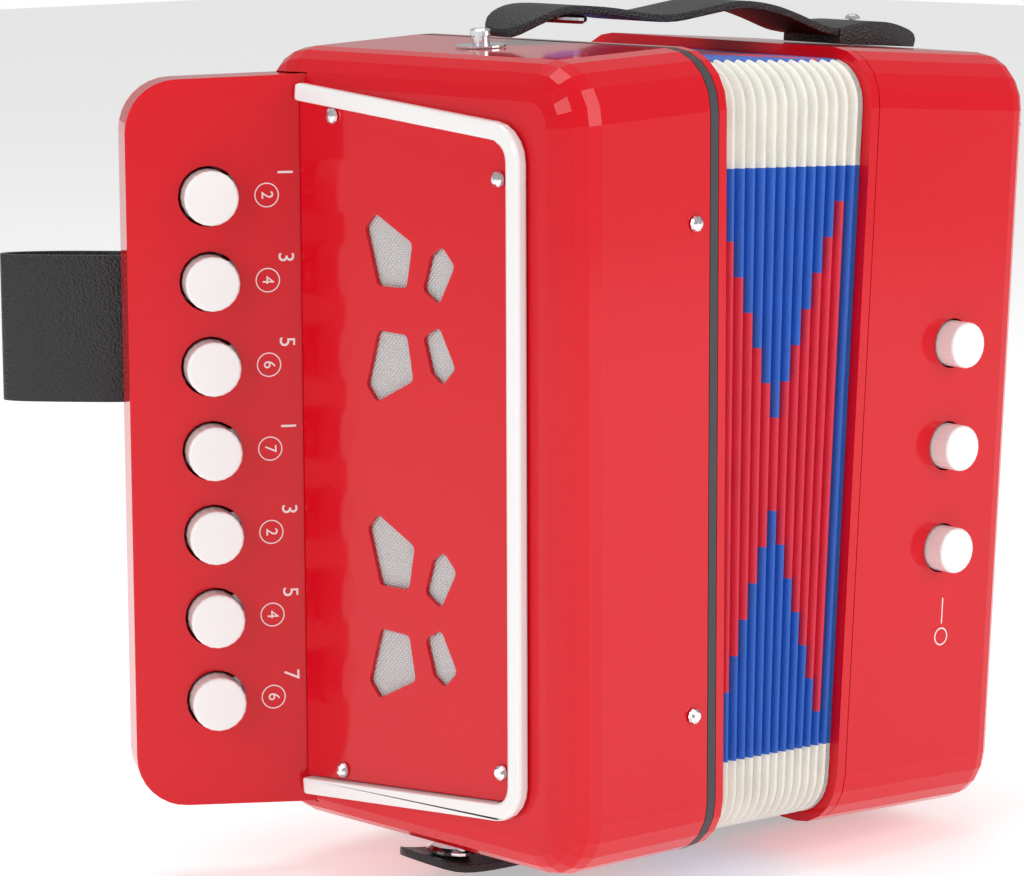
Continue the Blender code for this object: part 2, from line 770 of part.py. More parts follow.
def fold_levels():
    """(share of the bellows length, inset) of each ring of the folds: groove, two shoulders, groove."""
    levels = [(0.0, FOLD_INSET)]
    for fold in range(FOLD_COUNT):
        for share, inset in ((0.22, 0.0), (0.78, 0.0), (1.0, FOLD_DEPTH)):
            levels.append(((fold + share) / FOLD_COUNT, FOLD_INSET + inset))
    levels[-1] = (1.0, FOLD_INSET)
    return levels


def build_bellows(parent):
    """Folds lofted between the treble frame and the askew bass frame, around a plain bore."""
    near = Matrix.Translation((bellows_start(), 0, 0))
    far = bass_matrix() @ Matrix.Translation((-FRAME_THICKNESS - 2 * CLEARANCE, 0, 0))
    bore = FOLD_INSET + FOLD_DEPTH + BELLOWS_WALL
    rings = fold_levels() + [(1.0, bore), (0.0, bore)]
    bm = bmesh.new()
    loops = []
    for share, inset in rings:
        flat = [Vector((0.0, y, z)) for y, z in section(inset, 4)]
        loops.append([bm.verts.new((near @ p).lerp(far @ p, share)) for p in flat])
    for first, second in zip(loops, loops[1:] + loops[:1]):
        for i in range(len(first)):
            bm.faces.new((first[i - 1], first[i], second[i], second[i - 1]))
    bmesh.ops.recalc_face_normals(bm, faces=bm.faces)
    mesh = mesh_from(bm, "bellows")
    return smooth_shaded(add_object("bellows", mesh, material("bellows_cloth", BELLOWS_RED, 0.45), parent))


def build_bass_casing(parent):
    obj = casing("bass_casing", BASS_LENGTH, BASS_FILLET, BASS_DRAFT, parent, Matrix.Identity(4))
    for i, (place, _) in enumerate(bass_button_places()):
        hole = cylinder(
            f"bass_button_hole_{i + 1}", BASS_BUTTON_RADIUS + BASS_BUTTON_PLAY, -0.006, 0.004, None, parent, place
        )
        boolean(obj, hole)
    for name, place in hand_strap_screw_places() + strap_screw_places():
        screw_hole(name + "_hole", obj, parent, place)
    for name, place in foot_places():
        screw_hole(name + "_hole", obj, parent, place)
    return obj


def bass_inset(x):
    return x * math.tan(BASS_DRAFT)


def bass_button_places():
    """Each bass button's place on the front wall, Z pointing out, and its name."""
    depth = BODY_DEPTH / 2 - bass_inset(BASS_BUTTON_X)
    names = ("bass_button_1", "bass_button_2", "air_button")
    heights = [BASS_BUTTON_TOP_Z - i * BASS_BUTTON_PITCH for i in range(len(names))]
    return [(placed(FACING_FRONT, (BASS_BUTTON_X, -depth, z)), name) for name, z in zip(names, heights)]


def build_bass_buttons(parent):
    """A cap, a stem through the valve board and a pallet behind it, turned in one piece."""
    radius, top = BASS_BUTTON_RADIUS, BASS_BUTTON_HEIGHT
    depth = BODY_DEPTH / 2 - bass_inset(BASS_BUTTON_X)
    pallet = -(depth + VALVE_BOARD_Y + VALVE_BOARD_THICKNESS + CLEARANCE)
    cap_bottom = top - BASS_BUTTON_LENGTH
    profile = [(0.0, top), (radius - 0.0007, top), (radius - 0.0002, top - 0.0002), (radius, top - 0.0007)]
    profile += [(radius, cap_bottom), (BASS_STEM_RADIUS, cap_bottom), (BASS_STEM_RADIUS, pallet)]
    profile += [(BASS_PALLET_RADIUS, pallet), (BASS_PALLET_RADIUS, pallet - BASS_PALLET_THICKNESS)]
    profile += [(0.0, pallet - BASS_PALLET_THICKNESS)]
    for place, name in bass_button_places():
        smooth_shaded(turned(name, profile, white_plastic(), parent, place))


def build_valve_board(parent):
    end = BASS_LENGTH - CASING_WALL - BASS_FILLET
    half = BODY_HEIGHT / 2 - CASING_WALL - CLEARANCE - bass_inset(end) - CLEARANCE
    board = box(
        "bass_valve_board", (VALVE_BOARD_START, VALVE_BOARD_Y, -half), (end, VALVE_BOARD_Y + VALVE_BOARD_THICKNESS, half),
        pale_wood(), parent,
    )
    for i, (place, _) in enumerate(bass_button_places()):
        boolean(board, cylinder(f"valve_hole_{i + 1}", VALVE_HOLE_RADIUS, -0.03, 0.0, None, parent, place,
                                SMALL_CIRCLE_STEPS))
    return board


def build_bass_reed_block(parent):
    front = VALVE_BOARD_Y + VALVE_BOARD_THICKNESS + CLEARANCE
    low = (VALVE_BOARD_START + CLEARANCE, front, -BASS_BLOCK_HEIGHT / 2)
    high = (VALVE_BOARD_START + BASS_BLOCK_LENGTH, front + BASS_BLOCK_DEPTH, BASS_BLOCK_HEIGHT / 2)
    block = box("bass_reed_block", low, high, pale_wood(), parent)
    cells = 6
    pitch = BASS_BLOCK_HEIGHT / cells
    for i in range(cells):
        middle = (i - (cells - 1) / 2) * pitch
        cell = box(
            f"bass_reed_cell_{i + 1}", (low[0] + 0.003, front + 0.003, middle - pitch * 0.35),
            (high[0] - 0.003, high[1] + 0.003, middle + pitch * 0.35), None, parent,
        )
        boolean(block, cell)
    return block


def build_reed_board(parent):
    end = REED_BOARD_X + REED_BOARD_THICKNESS
    outline = section(CASING_WALL + 2 * CLEARANCE, drafted=treble_inset(REED_BOARD_X))
    board = extruded("treble_reed_board", [outline], REED_BOARD_X, end, pale_wood(), parent, ACROSS)
    middle = axle_place().y - PALLET_OFFSET
    for i, height in enumerate(key_heights()):
        hole = box(
            f"tone_hole_{i + 1}", (REED_BOARD_X - 0.002, middle - TONE_HOLE_LENGTH / 2, height - TONE_HOLE_WIDTH / 2),
            (end + 0.002, middle + TONE_HOLE_LENGTH / 2, height + TONE_HOLE_WIDTH / 2), None, parent,
        )
        boolean(board, hole)
    return board


def build_treble_reed_block(parent):
    start = REED_BOARD_X + REED_BOARD_THICKNESS + CLEARANCE
    end = start + REED_BLOCK_THICKNESS
    middle = axle_place().y - PALLET_OFFSET
    reach = (KEY_COUNT - 1) / 2 * KEY_PITCH + REED_BLOCK_MARGIN
    block = box(
        "treble_reed_block", (start, middle - REED_BLOCK_DEPTH / 2, -reach - KEY_DROP),
        (end, middle + REED_BLOCK_DEPTH / 2, reach - KEY_DROP), pale_wood(), parent,
    )
    for i, height in enumerate(key_heights()):
        cell = box(
            f"treble_reed_cell_{i + 1}", (start - 0.002, middle - TONE_HOLE_LENGTH / 2, height - TONE_HOLE_WIDTH / 2),
            (end + 0.002, middle + TONE_HOLE_LENGTH / 2, height + TONE_HOLE_WIDTH / 2), None, parent,
        )
        boolean(block, cell)
    return block


def foot_places():
    seat = BASS_LENGTH + CLEARANCE
    corners = ((-FOOT_Y, FOOT_Z), (FOOT_Y, FOOT_Z), (FOOT_Y, -FOOT_Z), (-FOOT_Y, -FOOT_Z))
    return [(f"bass_foot_{i + 1}", placed(FACING_RIGHT, (seat, y, z))) for i, (y, z) in enumerate(corners)]


def build_feet(parent):
    radius, height = FOOT_RADIUS, FOOT_HEIGHT
    pin = SCREW_SHANK_RADIUS
    profile = [(0.0, height), (radius * 0.72, height), (radius * 0.86, height - 0.0006), (radius, 0.001), (radius, 0.0)]
    profile += [(pin, 0.0), (pin, -CASING_WALL * 2), (0.0, -CASING_WALL * 2)]
    for name, place in foot_places():
        foot = turned(name, profile, material("black_rubber", (0.02, 0.02, 0.02), 0.7), parent, place, SMALL_CIRCLE_STEPS)
        smooth_shaded(foot)


def ribbon(name, path, thickness, low, high, surface, parent, matrix):
    return extruded(name, [band(path, thickness)], low, high, surface, parent, matrix)


def hand_strap_path():
    """(z, height over the bass end face), from the lower end to the upper end."""
    seat = CLEARANCE + HAND_STRAP_THICKNESS / 2
    rise, reach = HAND_STRAP_RISE, HAND_STRAP_REACH
    half = [(1.0, 0.0), (0.93, 0.0), (0.82, 0.07), (0.66, 0.36), (0.45, 0.72), (0.23, 0.95), (0.0, 1.0)]
    lower = [(-share * reach, seat + lift * rise) for share, lift in half]
    upper = [(-z, height) for z, height in reversed(lower[:-1])]
    return smooth_path(lower + upper)


def hand_strap_screw_places():
    seat = BASS_LENGTH + HAND_STRAP_THICKNESS + 2 * CLEARANCE
    z = HAND_STRAP_REACH * 0.95
    return [(f"hand_strap_screw_{i + 1}", placed(FACING_RIGHT, (seat, 0.0, side * z))) for i, side in enumerate((1, -1))]


def build_hand_strap(parent):
    matrix = axes_matrix((0, 0, 1), (1, 0, 0), (0, 1, 0), (BASS_LENGTH, 0, 0))
    half = HAND_STRAP_WIDTH / 2
    strap = ribbon("hand_strap", hand_strap_path(), HAND_STRAP_THICKNESS, -half, half, black_leather(), parent, matrix)
    for name, place in hand_strap_screw_places():
        screw_hole(name + "_strap_hole", strap, parent, place)
        screw(name, SCREW_HEAD_RADIUS * 1.4, SCREW_HEAD_HEIGHT * 1.2, parent, place)
    return strap


def top_flap_path():
    """(x, height over the bass casing's top) from the hinge end to the loose tip."""
    heights = (
        (-0.0003, 0.0034), (-0.007, 0.0044), (-0.017, 0.0074), (-0.027, 0.0097), (-0.039, 0.0104), (-0.052, 0.0082),
        (-0.063, 0.0063), (-0.073, 0.0062), (-0.085, 0.0074), (-0.097, 0.0078), (-0.105, 0.0070), (-0.112, 0.0040),
        (-0.117, 0.0004),
    )
    return smooth_path([(STRAP_HINGE_X + x, z) for x, z in heights])


def tail_top_path():
    """(x, height over the casing) of the doubled end's upper side, from the hinge line to the fold."""
    heights = (
        (0.0003, 0.0045), (0.007, 0.0060), (0.014, 0.0067), (0.021, 0.0064), (0.027, 0.0050), (0.0300, 0.0036),
        (0.0310, 0.0018),
    )
    return smooth_path([(STRAP_HINGE_X + x, z) for x, z in heights])


def tail_outline():
    """The doubled end: its upper side and a flat underside along the casing's drafted face."""
    top = tail_top_path()
    ends = (top[-1][0] - STRAP_THICKNESS / 4, top[0][0])
    return top + [(x, CLEARANCE - bass_inset(x)) for x in ends]


def bottom_flap_path():
    """(x, depth under the bass casing's bottom) from the hinge end to the tip past the snap."""
    depths = (
        (-0.0003, 0.0034), (-0.009, 0.0040), (-0.024, 0.0048), (-0.045, 0.0056), (-0.070, 0.0066), (-0.092, 0.0078),
        (-0.106, 0.0088), (-0.120, 0.0091), (-0.129, 0.0082), (-0.136, 0.0060),
    )
    return smooth_path([(STRAP_HINGE_X + x, z) for x, z in depths])


def strap_screw_places():
    """A screw through each strap's fixed end, on the top and bottom of the bass casing."""
    x = STRAP_HINGE_X + STRAP_SCREW_OFFSET
    rising = [(-x_top, z) for x_top, z in tail_top_path()]
    top = BODY_HEIGHT / 2 + height_at(rising, -x) + CLEARANCE
    return [
        ("top_strap_screw", Matrix.Translation((x, STRAP_Y, top))),
        ("bottom_strap_screw", placed(UPSIDE_DOWN, (x, STRAP_Y, -top))),
    ]


def strap_frame(upper):
    """Outline X and Y on the bass casing's X and its height over the top, or its depth under the bottom."""
    if upper:
        return axes_matrix((1, 0, 0), (0, 0, 1), (0, -1, 0), (0, STRAP_Y, BODY_HEIGHT / 2))
    return axes_matrix((1, 0, 0), (0, 0, -1), (0, 1, 0), (0, STRAP_Y, -BODY_HEIGHT / 2))


def round_tip(obj, tip_x, parent, local):
    """Rounds the strap's free end in plan."""
    half = STRAP_WIDTH / 2
    corners = ((0.08, half), (tip_x, half), (tip_x, -half), (0.08, -half))
    outline = rounded_outline(corners, (0.001, STRAP_ROUND, STRAP_ROUND, 0.001))
    plan = extruded(
        obj.name + "_plan", [outline], -BODY_HEIGHT, BODY_HEIGHT, None, parent,
        local @ Matrix.Translation((0, STRAP_Y, 0)),
    )
    return boolean(obj, plan, "INTERSECT")


def build_strap(upper, parent):
    """A closing strap: a flap that lifts at its hinge line, its snap, and the end fixed to the casing."""
    word = "top" if upper else "bottom"
    frame = strap_frame(upper)
    half = STRAP_WIDTH / 2
    leather = black_leather()
    flap_path = top_flap_path() if upper else bottom_flap_path()
    tail = extruded(word + "_strap_tail", [tail_outline()], -half, half, leather, parent, frame)
    for name, place in strap_screw_places():
        if name.startswith(word):
            screw_hole(name + "_tail_hole", tail, parent, place)
    hinge_height = flap_path[0][1] + STRAP_THICKNESS / 2
    hinge_place = frame @ Vector((STRAP_HINGE_X, hinge_height, 0.0))
    hinge = add_empty(word + "_flap_hinge", parent, Matrix.Translation(hinge_place))
    local = Matrix.Translation(-hinge_place)
    flap = ribbon(word + "_strap_flap", flap_path, STRAP_THICKNESS, -half, half, leather, hinge, local @ frame)
    tip = min(x for x, _ in flap_path)
    round_tip(flap, tip, hinge, local)
    snap_x = -0.067 if upper else -0.0955
    snap_height = height_at(flap_path, snap_x) - STRAP_THICKNESS / 2 - CLEARANCE
    build_snap(word + "_snap_socket", hinge, local @ frame, snap_x, snap_height, flap_slope(flap_path, snap_x))


def height_at(path, x):
    """Height of an open path, listed with falling x, at one x."""
    for (x_a, z_a), (x_b, z_b) in zip(path, path[1:]):
        if x_b <= x <= x_a:
            return z_a + (z_b - z_a) * (x_a - x) / (x_a - x_b)
    return path[-1][1]


def flap_slope(path, x):
    step = SNAP_RADIUS * 0.5
    return math.atan2(height_at(path, x + step) - height_at(path, x - step), 2 * step)


def build_snap(name, parent, frame, x, height, slope):
    """The snap's socket: a flat dome pressed into the strap's inner side."""
    radius, thickness = SNAP_RADIUS, SNAP_THICKNESS
    profile = [(0.0, 0.0), (radius * 0.8, 0.0), (radius, -thickness * 0.35), (radius, -thickness * 0.65)]
    profile += [(radius * 0.8, -thickness), (radius * 0.35, -thickness), (0.0, -thickness)]
    lean = Matrix.Rotation(slope, 4, "Z") @ Matrix.Rotation(-math.pi / 2, 4, "X")
    place = frame @ Matrix.Translation((x, height, 0.0)) @ lean
    smooth_shaded(turned(name, profile, bright_steel(), parent, place))


def build_studs(parent):
    """The fixed halves of the snaps: a round base with a post, on the treble casing."""
    lean = Matrix.Rotation(TREBLE_DRAFT, 4, "Y")
    for word, x, height, turn in (
        ("top", STUD_X, TOP_STUD_HEIGHT, Matrix.Rotation(-TREBLE_DRAFT, 4, "Y")),
        ("bottom", BOTTOM_STUD_X, BOTTOM_STUD_HEIGHT, lean @ UPSIDE_DOWN),
    ):
        side = 1 if word == "top" else -1
        seat = side * (BODY_HEIGHT / 2 - treble_inset(x) + CLEARANCE)
        base, post = STUD_BASE_RADIUS, STUD_RADIUS
        rim = STUD_BASE_THICKNESS
        profile = [(0.0, height), (post * 0.8, height), (post, height - 0.0005), (post, height * 0.62)]
        profile += [(post * 0.86, height * 0.55), (post * 0.86, rim), (base, rim), (base, 0.0), (0.0, 0.0)]
        smooth_shaded(turned(word + "_strap_stud", profile, bright_steel(), parent, placed(turn, (x, 0.0, seat))))


def thumb_strap_path():
    """(out, depth) in the keyboard's frame: both ends on the back, the loop beyond the outer edge."""
    seat = KEYBOARD_THICKNESS + CLEARANCE + THUMB_STRAP_THICKNESS / 2
    places = (
        (0.036, 0.0), (0.043, 0.0), (0.050, 0.0006), (0.059, 0.0030), (0.069, 0.0062), (0.0765, 0.0092),
        (0.0800, 0.0122), (0.0790, 0.0148), (0.0740, 0.0158), (0.0640, 0.0148), (0.0520, 0.0115), (0.0400, 0.0070),
        (0.0300, 0.0027), (0.0240, 0.0004), (0.0190, 0.0), (0.0120, 0.0),
    )
    return smooth_path([(out, seat + lift) for out, lift in places])


def thumb_strap_screw_places():
    seat = KEYBOARD_THICKNESS + THUMB_STRAP_THICKNESS + 2 * CLEARANCE
    return ((0.0385, THUMB_STRAP_Z, seat), (0.0155, THUMB_STRAP_Z, seat))


def build_thumb_strap(parent):
    keyboard = keyboard_axes()
    plan = keyboard @ axes_matrix((1, 0, 0), (0, 0, 1), (0, -1, 0), (0, THUMB_STRAP_Z, 0))
    half = THUMB_STRAP_WIDTH / 2
    path = thumb_strap_path()
    strap = ribbon("thumb_strap", path, THUMB_STRAP_THICKNESS, -half, half, black_leather(), parent, plan)
    for i, place in enumerate(thumb_strap_screw_places()):
        spot = keyboard @ Matrix.Translation(place)
        hole = cylinder(
            f"thumb_strap_hole_{i + 1}", SCREW_SHANK_RADIUS + CLEARANCE, -0.004, 0.001, None, parent, spot,
            SMALL_CIRCLE_STEPS,
        )
        boolean(strap, hole)
        screw(f"thumb_strap_screw_{i + 1}", SCREW_HEAD_RADIUS, SCREW_HEAD_HEIGHT, parent, spot,
              THUMB_STRAP_THICKNESS + COVER_THICKNESS)
    return strap


def build_treble(root):
    build_treble_casing(root)
    build_keyboard_housing(root)
    build_keyboard_cover(root)
    build_keys(root)
    build_axle(root)
    build_reed_board(root)
    build_treble_reed_block(root)
    build_grille_mesh(root)
    build_grille_plate(root)
    build_trim(root)
    build_grille_screws(root)
    build_casing_screws(root)
    ring("treble_gasket", gasket_start(), GASKET_THICKNESS, material("grey_rubber", RUBBER_GREY, 0.6), root)
    ring("treble_frame", treble_frame_start(), FRAME_THICKNESS, gloss_red(), root)
    build_studs(root)
    build_thumb_strap(root)


def build_bass(root):
    bass = add_empty("bass_side", root, bass_matrix())
    build_bass_casing(bass)
    ring("bass_frame", -CLEARANCE - FRAME_THICKNESS, FRAME_THICKNESS, gloss_red(), bass)
    build_bass_buttons(bass)
    build_valve_board(bass)
    build_bass_reed_block(bass)
    build_feet(bass)
    build_hand_strap(bass)
    build_strap(True, bass)
    build_strap(False, bass)
    for name, place in strap_screw_places():
        screw(name, SCREW_HEAD_RADIUS, SCREW_HEAD_HEIGHT, bass, place, STRAP_SCREW_LENGTH)


def set_down(root):
    """Moves the model so that the middle of its footprint is at the origin."""
    bpy.context.view_layer.update()
    depsgraph = bpy.context.evaluated_depsgraph_get()
    low = Vector((math.inf,) * 3)
    high = -low
    for obj in PARTS.objects:
        if obj.type != "MESH":
            continue
        shown = obj.evaluated_get(depsgraph)
        for vert in shown.data.vertices:
            place = shown.matrix_world @ vert.co
            low = Vector(map(min, low, place))
            high = Vector(map(max, high, place))
    root.location = (-(low.x + high.x) / 2, -(low.y + high.y) / 2, -low.z)
    bpy.context.view_layer.update()


clear_scene()
PARTS = new_collection("accordion")
CUTTERS = new_collection("cutters")
model = add_empty("accordion_place", None)
build_treble(model)
build_bellows(model)
build_bass(model)
set_down(model)
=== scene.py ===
"""Looks of the small button accordion: finishes, folded bellows, straps, marks, light and camera."""

import json
import math

import bmesh
import bpy
from mathutils import Matrix, Vector


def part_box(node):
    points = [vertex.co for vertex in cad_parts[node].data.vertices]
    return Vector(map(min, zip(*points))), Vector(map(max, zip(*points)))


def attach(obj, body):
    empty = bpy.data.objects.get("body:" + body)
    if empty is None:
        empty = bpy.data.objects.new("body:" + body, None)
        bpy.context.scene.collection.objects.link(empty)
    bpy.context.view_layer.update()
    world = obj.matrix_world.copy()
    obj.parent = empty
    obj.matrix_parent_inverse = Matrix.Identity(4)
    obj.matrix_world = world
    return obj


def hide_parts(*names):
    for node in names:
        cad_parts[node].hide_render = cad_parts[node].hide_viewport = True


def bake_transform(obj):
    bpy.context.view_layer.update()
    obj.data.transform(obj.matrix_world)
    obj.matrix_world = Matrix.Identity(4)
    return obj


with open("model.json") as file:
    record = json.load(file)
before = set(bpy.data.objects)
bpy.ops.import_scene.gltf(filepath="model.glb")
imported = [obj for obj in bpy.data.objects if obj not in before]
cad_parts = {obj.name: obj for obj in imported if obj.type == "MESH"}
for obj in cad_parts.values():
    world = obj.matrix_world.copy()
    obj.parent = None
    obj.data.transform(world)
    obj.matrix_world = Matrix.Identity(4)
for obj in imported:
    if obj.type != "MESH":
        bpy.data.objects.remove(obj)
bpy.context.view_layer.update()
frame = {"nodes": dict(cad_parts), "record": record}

# The instrument's own sizes, in metres, as the solids have them
CLEARANCE = 0.0003
BODY_DEPTH = 0.1275
BODY_HEIGHT = 0.220
CORNER_RADIUS = 0.016
FRAME_THICKNESS = 0.003
BELLOWS_LENGTH = 0.059
FOLD_COUNT = 14
FOLD_INSET = 0.0032
FOLD_DEPTH = 0.0055
BELLOWS_BORE = 0.0114
BASS_SHIFT = -0.002
BASS_DROP = 0.0027
BASS_TILT = math.radians(3.15)
BASS_SWING = math.radians(-6.3)
CREASE_Y = 0.0409
KEYBOARD_ANGLE = math.radians(58)
KEY_PITCH = 0.0235
KEY_DROP = 0.0018

# Print on the keyboard: plain numbers, and numbers in a ring
PLAIN_NUMBERS = "1351357"
RINGED_NUMBERS = "2467246"
PLAIN_OFFSET = 0.0055
RINGED_OFFSET = 0.0105
PRINT_LIFT = 0.00008
PRINT_THICKNESS = 0.00006

# Camera, measured from the middle of the treble casing's end face
CAMERA_PLACE = (-0.6869, -0.7251, 0.1706)
CAMERA_YAW = math.radians(45.05)
CAMERA_PITCH = math.radians(9.4)
CAMERA_ROLL = math.radians(-0.2)
CAMERA_LENS = 131.8

low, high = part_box("treble_gasket")
RIM_X = low[0]
MIDDLE = Vector((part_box("treble_casing")[0][0], (low[1] + high[1]) / 2, (low[2] + high[2]) / 2))


def new_material(name):
    made = bpy.data.materials.new(name)
    made.use_nodes = True
    return made, made.node_tree, made.node_tree.nodes["Principled BSDF"]


def add_node(tree, kind, **values):
    node = tree.nodes.new(kind)
    for name, value in values.items():
        setattr(node, name, value)
    return node


def uneven_group():
    """Slow colour and roughness drift over a surface, with a fine bump on top."""
    group = bpy.data.node_groups.new("surface_drift", "ShaderNodeTree")
    face = group.interface
    face.new_socket("Colour", in_out="INPUT", socket_type="NodeSocketColor")
    face.new_socket("Drift Scale", in_out="INPUT", socket_type="NodeSocketFloat")
    face.new_socket("Drift", in_out="INPUT", socket_type="NodeSocketFloat")
    face.new_socket("Roughness", in_out="INPUT", socket_type="NodeSocketFloat")
    face.new_socket("Grain Scale", in_out="INPUT", socket_type="NodeSocketFloat")
    face.new_socket("Grain Depth", in_out="INPUT", socket_type="NodeSocketFloat")
    face.new_socket("Colour", in_out="OUTPUT", socket_type="NodeSocketColor")
    face.new_socket("Roughness", in_out="OUTPUT", socket_type="NodeSocketFloat")
    face.new_socket("Normal", in_out="OUTPUT", socket_type="NodeSocketVector")
    inside = add_node(group, "NodeGroupInput")
    outside = add_node(group, "NodeGroupOutput")
    place = add_node(group, "ShaderNodeTexCoord")
    drift = add_node(group, "ShaderNodeTexNoise")
    group.links.new(place.outputs["Object"], drift.inputs["Vector"])
    group.links.new(inside.outputs["Drift Scale"], drift.inputs["Scale"])
    shade = add_node(group, "ShaderNodeMapRange")
    shade.inputs["To Min"].default_value = -0.5
    shade.inputs["To Max"].default_value = 0.5
    group.links.new(drift.outputs["Fac"], shade.inputs["Value"])
    amount = add_node(group, "ShaderNodeMath", operation="MULTIPLY")
    group.links.new(shade.outputs["Result"], amount.inputs[0])
    group.links.new(inside.outputs["Drift"], amount.inputs[1])
    value = add_node(group, "ShaderNodeMath", operation="ADD")
    value.inputs[1].default_value = 1.0
    group.links.new(amount.outputs[0], value.inputs[0])
    tint = add_node(group, "ShaderNodeHueSaturation")
    group.links.new(inside.outputs["Colour"], tint.inputs["Color"])
    group.links.new(value.outputs[0], tint.inputs["Value"])
    group.links.new(tint.outputs["Color"], outside.inputs["Colour"])
    rough = add_node(group, "ShaderNodeMath", operation="MULTIPLY")
    group.links.new(inside.outputs["Roughness"], rough.inputs[0])
    group.links.new(value.outputs[0], rough.inputs[1])
    group.links.new(rough.outputs[0], outside.inputs["Roughness"])
    grain = add_node(group, "ShaderNodeTexVoronoi")
    group.links.new(place.outputs["Object"], grain.inputs["Vector"])
    group.links.new(inside.outputs["Grain Scale"], grain.inputs["Scale"])
    depth = add_node(group, "ShaderNodeMath", operation="MULTIPLY")
    group.links.new(grain.outputs["Distance"], depth.inputs[0])
    group.links.new(inside.outputs["Grain Depth"], depth.inputs[1])
    bump = add_node(group, "ShaderNodeBump")
    bump.inputs["Distance"].default_value = 0.0003
    group.links.new(depth.outputs[0], bump.inputs["Height"])
    group.links.new(bump.outputs["Normal"], outside.inputs["Normal"])
    return group


DRIFT = uneven_group()


def finish(name, colour, roughness, drift, grain_scale, grain_depth, metallic=0.0, coat=0.0, specular=0.5):
    made, tree, shader = new_material(name)
    surface = add_node(tree, "ShaderNodeGroup", node_tree=DRIFT)
    surface.inputs["Colour"].default_value = (*colour, 1.0)
    surface.inputs["Drift Scale"].default_value = 25.0
    surface.inputs["Drift"].default_value = drift
    surface.inputs["Roughness"].default_value = roughness
    surface.inputs["Grain Scale"].default_value = grain_scale
    surface.inputs["Grain Depth"].default_value = grain_depth
    tree.links.new(surface.outputs["Colour"], shader.inputs["Base Color"])
    tree.links.new(surface.outputs["Roughness"], shader.inputs["Roughness"])
    tree.links.new(surface.outputs["Normal"], shader.inputs["Normal"])
    shader.inputs["Metallic"].default_value = metallic
    shader.inputs["Coat Weight"].default_value = coat
    shader.inputs["Coat Roughness"].default_value = 0.03
    shader.inputs["Specular IOR Level"].default_value = specular
    return made


def mesh_finish():
    """Woven silvery grille cloth, with its threads on the diagonal."""
    made, tree, shader = new_material("grille_weave")
    place = add_node(tree, "ShaderNodeTexCoord")
    turn = add_node(tree, "ShaderNodeMapping")
    turn.inputs["Rotation"].default_value = (math.radians(45), 0, 0)
    tree.links.new(place.outputs["Object"], turn.inputs["Vector"])
    heights = []
    for direction in ("Y", "Z"):
        wave = add_node(tree, "ShaderNodeTexWave", bands_direction=direction)
        wave.inputs["Scale"].default_value = 330.0
        tree.links.new(turn.outputs["Vector"], wave.inputs["Vector"])
        heights.append(wave.outputs["Fac"])
    threads = add_node(tree, "ShaderNodeMath", operation="MULTIPLY")
    tree.links.new(heights[0], threads.inputs[0])
    tree.links.new(heights[1], threads.inputs[1])
    ramp = add_node(tree, "ShaderNodeMapRange")
    ramp.inputs["To Min"].default_value = 0.55
    ramp.inputs["To Max"].default_value = 0.95
    tree.links.new(threads.outputs[0], ramp.inputs["Value"])
    colour = add_node(tree, "ShaderNodeCombineColor")
    for socket in ("Red", "Green", "Blue"):
        tree.links.new(ramp.outputs["Result"], colour.inputs[socket])
    tree.links.new(colour.outputs["Color"], shader.inputs["Base Color"])
    bump = add_node(tree, "ShaderNodeBump")
    bump.inputs["Distance"].default_value = 0.0004
    tree.links.new(threads.outputs[0], bump.inputs["Height"])
    tree.links.new(bump.outputs["Normal"], shader.inputs["Normal"])
    shader.inputs["Roughness"].default_value = 0.4
    return made


def bellows_finish():
    """Stepped red diamonds on blue with white corners, one step to a fold."""
    made, tree, shader = new_material("bellows_cloth")
    rest = add_node(tree, "ShaderNodeAttribute", attribute_name="fold_place")
    parts = add_node(tree, "ShaderNodeSeparateXYZ")
    tree.links.new(rest.outputs["Vector"], parts.inputs[0])

    def maths(operation, first, second=None):
        node = add_node(tree, "ShaderNodeMath", operation=operation)
        for socket, value in zip(node.inputs, (first, second)):
            if isinstance(value, (int, float)):
                socket.default_value = value
            elif value is not None:
                tree.links.new(value, socket)
        return node.outputs[0]

    fold = maths("FLOOR", parts.outputs["X"])
    from_middle = maths("ABSOLUTE", maths("SUBTRACT", fold, 6.0))
    half = maths("ADD", maths("MULTIPLY", from_middle, 0.0098), 0.0129)
    red = maths("LESS_THAN", parts.outputs["Y"], half)
    red = maths("MULTIPLY", red, maths("LESS_THAN", fold, 12.5))
    white = maths("GREATER_THAN", parts.outputs["Y"], 0.0815)

    def mixed(mask, below, above):
        node = add_node(tree, "ShaderNodeMix", data_type="RGBA")
        tree.links.new(mask, node.inputs["Factor"])
        for socket, value in (("A", below), ("B", above)):
            place = [s for s in node.inputs if s.name == socket and s.type == "RGBA"][0]
            if isinstance(value, tuple):
                place.default_value = value
            else:
                tree.links.new(value, place)
        return [s for s in node.outputs if s.type == "RGBA"][0]

    colour = mixed(red, (0.006, 0.105, 0.52, 1.0), (0.68, 0.008, 0.04, 1.0))
    colour = mixed(white, colour, (0.83, 0.81, 0.74, 1.0))
    surface = add_node(tree, "ShaderNodeGroup", node_tree=DRIFT)
    tree.links.new(colour, surface.inputs["Colour"])
    for name, value in (("Drift Scale", 90.0), ("Drift", 0.22), ("Roughness", 0.42), ("Grain Scale", 1800.0),
                        ("Grain Depth", 0.25)):
        surface.inputs[name].default_value = value
    tree.links.new(surface.outputs["Colour"], shader.inputs["Base Color"])
    tree.links.new(surface.outputs["Roughness"], shader.inputs["Roughness"])
    tree.links.new(surface.outputs["Normal"], shader.inputs["Normal"])
    shader.inputs["Sheen Weight"].default_value = 0.15
    return made


